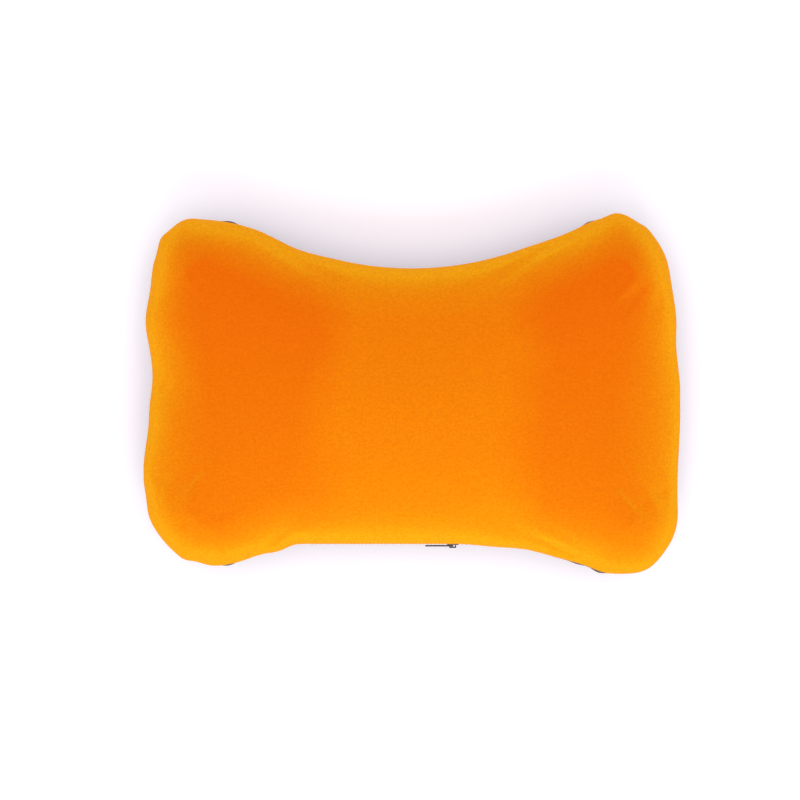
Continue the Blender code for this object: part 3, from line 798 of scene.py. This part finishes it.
def stitches(name, side, tree, material):
    """A row of short stitches along the zip opening, sunk into the panel."""
    height = SEAM_MIDDLE + side * (OPENING + STITCH_ROW)
    bm = bmesh.new()
    x = ZIP_FROM - STITCHES_PAST
    while x < ZIP_TO + STITCHES_PAST:
        path = []
        for share in (0, 0.2, 0.5, 0.8, 1):
            origin = Vector((x + share * STITCH, FRONT_Y - STITCH_RAY, height))
            place, normal, _, _ = tree.ray_cast(origin, Vector((0, 1, 0)))
            rise = THREAD * (STITCH_TOP - STITCH_DIP * (share - 0.5) ** 2)
            path.append(place + normal * rise)
        tube(bm, path, THREAD)
        x += STITCH_PITCH
    bmesh.ops.recalc_face_normals(bm, faces=bm.faces)
    thing = mesh_object(name, bm)
    thing.data.shade_smooth()
    finish_piece(thing, material, "pillow")


def refine_node(name, material, bevel):
    """A carried-over CAD node: a procedural finish, and softly rounded edges."""
    node = frame["nodes"][name]
    node.data.materials.clear()
    node.data.materials.append(material)
    if bevel:
        node.modifiers.new("joined", "WELD").merge_threshold = 0.00001
        rounded = node.modifiers.new("rounded", "BEVEL")
        rounded.width = bevel
        rounded.segments = 2
        rounded.limit_method = "ANGLE"
        rounded.angle_limit = BEVEL_ANGLE
        node.modifiers.new("facets", "WEIGHTED_NORMAL")


# ---------------------------------------------------------------- the object

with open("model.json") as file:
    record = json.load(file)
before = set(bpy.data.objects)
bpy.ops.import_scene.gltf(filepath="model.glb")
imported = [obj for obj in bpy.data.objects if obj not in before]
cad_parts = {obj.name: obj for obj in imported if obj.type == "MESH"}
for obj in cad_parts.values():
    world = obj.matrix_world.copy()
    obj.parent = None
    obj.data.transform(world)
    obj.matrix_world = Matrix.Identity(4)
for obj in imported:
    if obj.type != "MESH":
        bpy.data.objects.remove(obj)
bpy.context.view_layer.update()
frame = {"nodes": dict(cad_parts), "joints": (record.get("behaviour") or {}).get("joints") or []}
low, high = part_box("cover_top_panel")
SEAM_Z = low.z
SEAM_MIDDLE = (low.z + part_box("cover_bottom_panel")[1].z) / 2
SEAM_POINTS, SEAM_NORMALS = seam_line(high.x, high.y)
ZIP_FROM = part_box("zip_bottom_stop")[0].x
ZIP_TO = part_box("zip_top_stop_upper")[1].x
JOINTS = {joint["name"]: joint for joint in frame["joints"]}
VALVE_SEAT = np.array(JOINTS["valve_twist"]["pos_m"])
VALVE_AXIS = np.array(JOINTS["valve_twist"]["axis"])

top = make_panel("cover_top", 1)
bottom = make_panel("cover_bottom", -1)
finish_piece(top, microsuede(), "pillow")
finish_piece(bottom, dark_jersey(), "pillow")
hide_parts("cover_top_panel")
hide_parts("cover_bottom_panel")

film = plain_plastic("bladder_film", (0.33, 0.36, 0.38), 0.35, 300, 0.0001)
foam = inside_copy("foam_topper", foam_cells(), 3)
upper_skin = inside_copy("bladder_upper_skin", film, 2)
lower_skin = inside_copy("bladder_lower_skin", film, 3)
inside_copy("care_label", satin_label(), 2)

nylon = plain_plastic("zip_nylon", (0.028, 0.024, 0.028), 0.38)
zip_coil("upper", 1, nylon)
zip_coil("lower", -1, nylon)
stitches("zip_stitches_upper", 1, FINAL[0], spun_thread("orange_thread", (0.80, 0.22, 0.01)))
stitches("zip_stitches_lower", -1, FINAL[1], spun_thread("dark_thread", (0.035, 0.025, 0.035)))

metal = painted_metal()
valve_plastic = plain_plastic("valve_plastic", (0.030, 0.030, 0.033), 0.45)
rubber = plain_plastic("seal_rubber", (0.30, 0.06, 0.03), 0.55)
tpu = plain_plastic("valve_tpu", (0.16, 0.17, 0.18), 0.5)
tape = woven_tape()
for name, material, bevel in (
    ("bladder_baffle_1", film, 0),
    ("bladder_baffle_2", film, 0),
    ("bladder_baffle_3", film, 0),
    ("zip_tape_upper", tape, 0),
    ("zip_tape_lower", tape, 0),
    ("zip_top_stop_upper", metal, 0.00015),
    ("zip_top_stop_lower", metal, 0.00015),
    ("zip_bottom_stop", metal, 0.0002),
    ("zip_slider_body", metal, 0.00022),
    ("zip_pull_tab", metal, 0.00025),
    ("cover_eyelet", metal, 0.0002),
    ("valve_cap", valve_plastic, 0.0002),
    ("valve_barrel", valve_plastic, 0.00015),
    ("valve_flange", tpu, 0),
    ("valve_cap_seal", rubber, 0),
    ("valve_plug_seal", rubber, 0),
):
    refine_node(name, material, bevel)

# ---------------------------------------------------------------- floor, light and camera


def area_light(name, place, size, power, target=(0, 0, 0.04)):
    light = bpy.data.lights.new(name, "AREA")
    light.shape = "RECTANGLE"
    light.size, light.size_y = size
    light.energy = power
    thing = bpy.data.objects.new(name, light)
    thing.location = place
    thing.rotation_euler = (Vector(target) - Vector(place)).to_track_quat("-Z", "Y").to_euler()
    bpy.context.scene.collection.objects.link(thing)


bm = bmesh.new()
bmesh.ops.create_grid(bm, x_segments=8, y_segments=8, size=6)
floor = mesh_object("floor", bm)
floor.location.z = -FLOOR_DROP
floor.data.materials.append(floor_white())

world = bpy.data.worlds.new("studio")
bpy.context.scene.world = world
world.use_nodes = True
world.node_tree.nodes["Background"].inputs["Color"].default_value = (1, 1, 1, 1)
world.node_tree.nodes["Background"].inputs["Strength"].default_value = 0.82
area_light("front_softbox", (0.1, -1.5, 1.6), (1.4, 0.9), 13)
area_light("overhead", (0, 0, 2.6), (2.2, 2.2), 16)

camera = bpy.data.cameras.new("camera")
camera.sensor_width = 36
camera.lens = camera.sensor_width * VIEW_DISTANCE / VIEW_WIDTH
eye = bpy.data.objects.new("camera", camera)
eye.location = (*VIEW_CENTRE, SEAM_Z + VIEW_DISTANCE)
bpy.context.scene.collection.objects.link(eye)
bpy.context.scene.camera = eye
bpy.context.scene.view_settings.view_transform = "Standard"
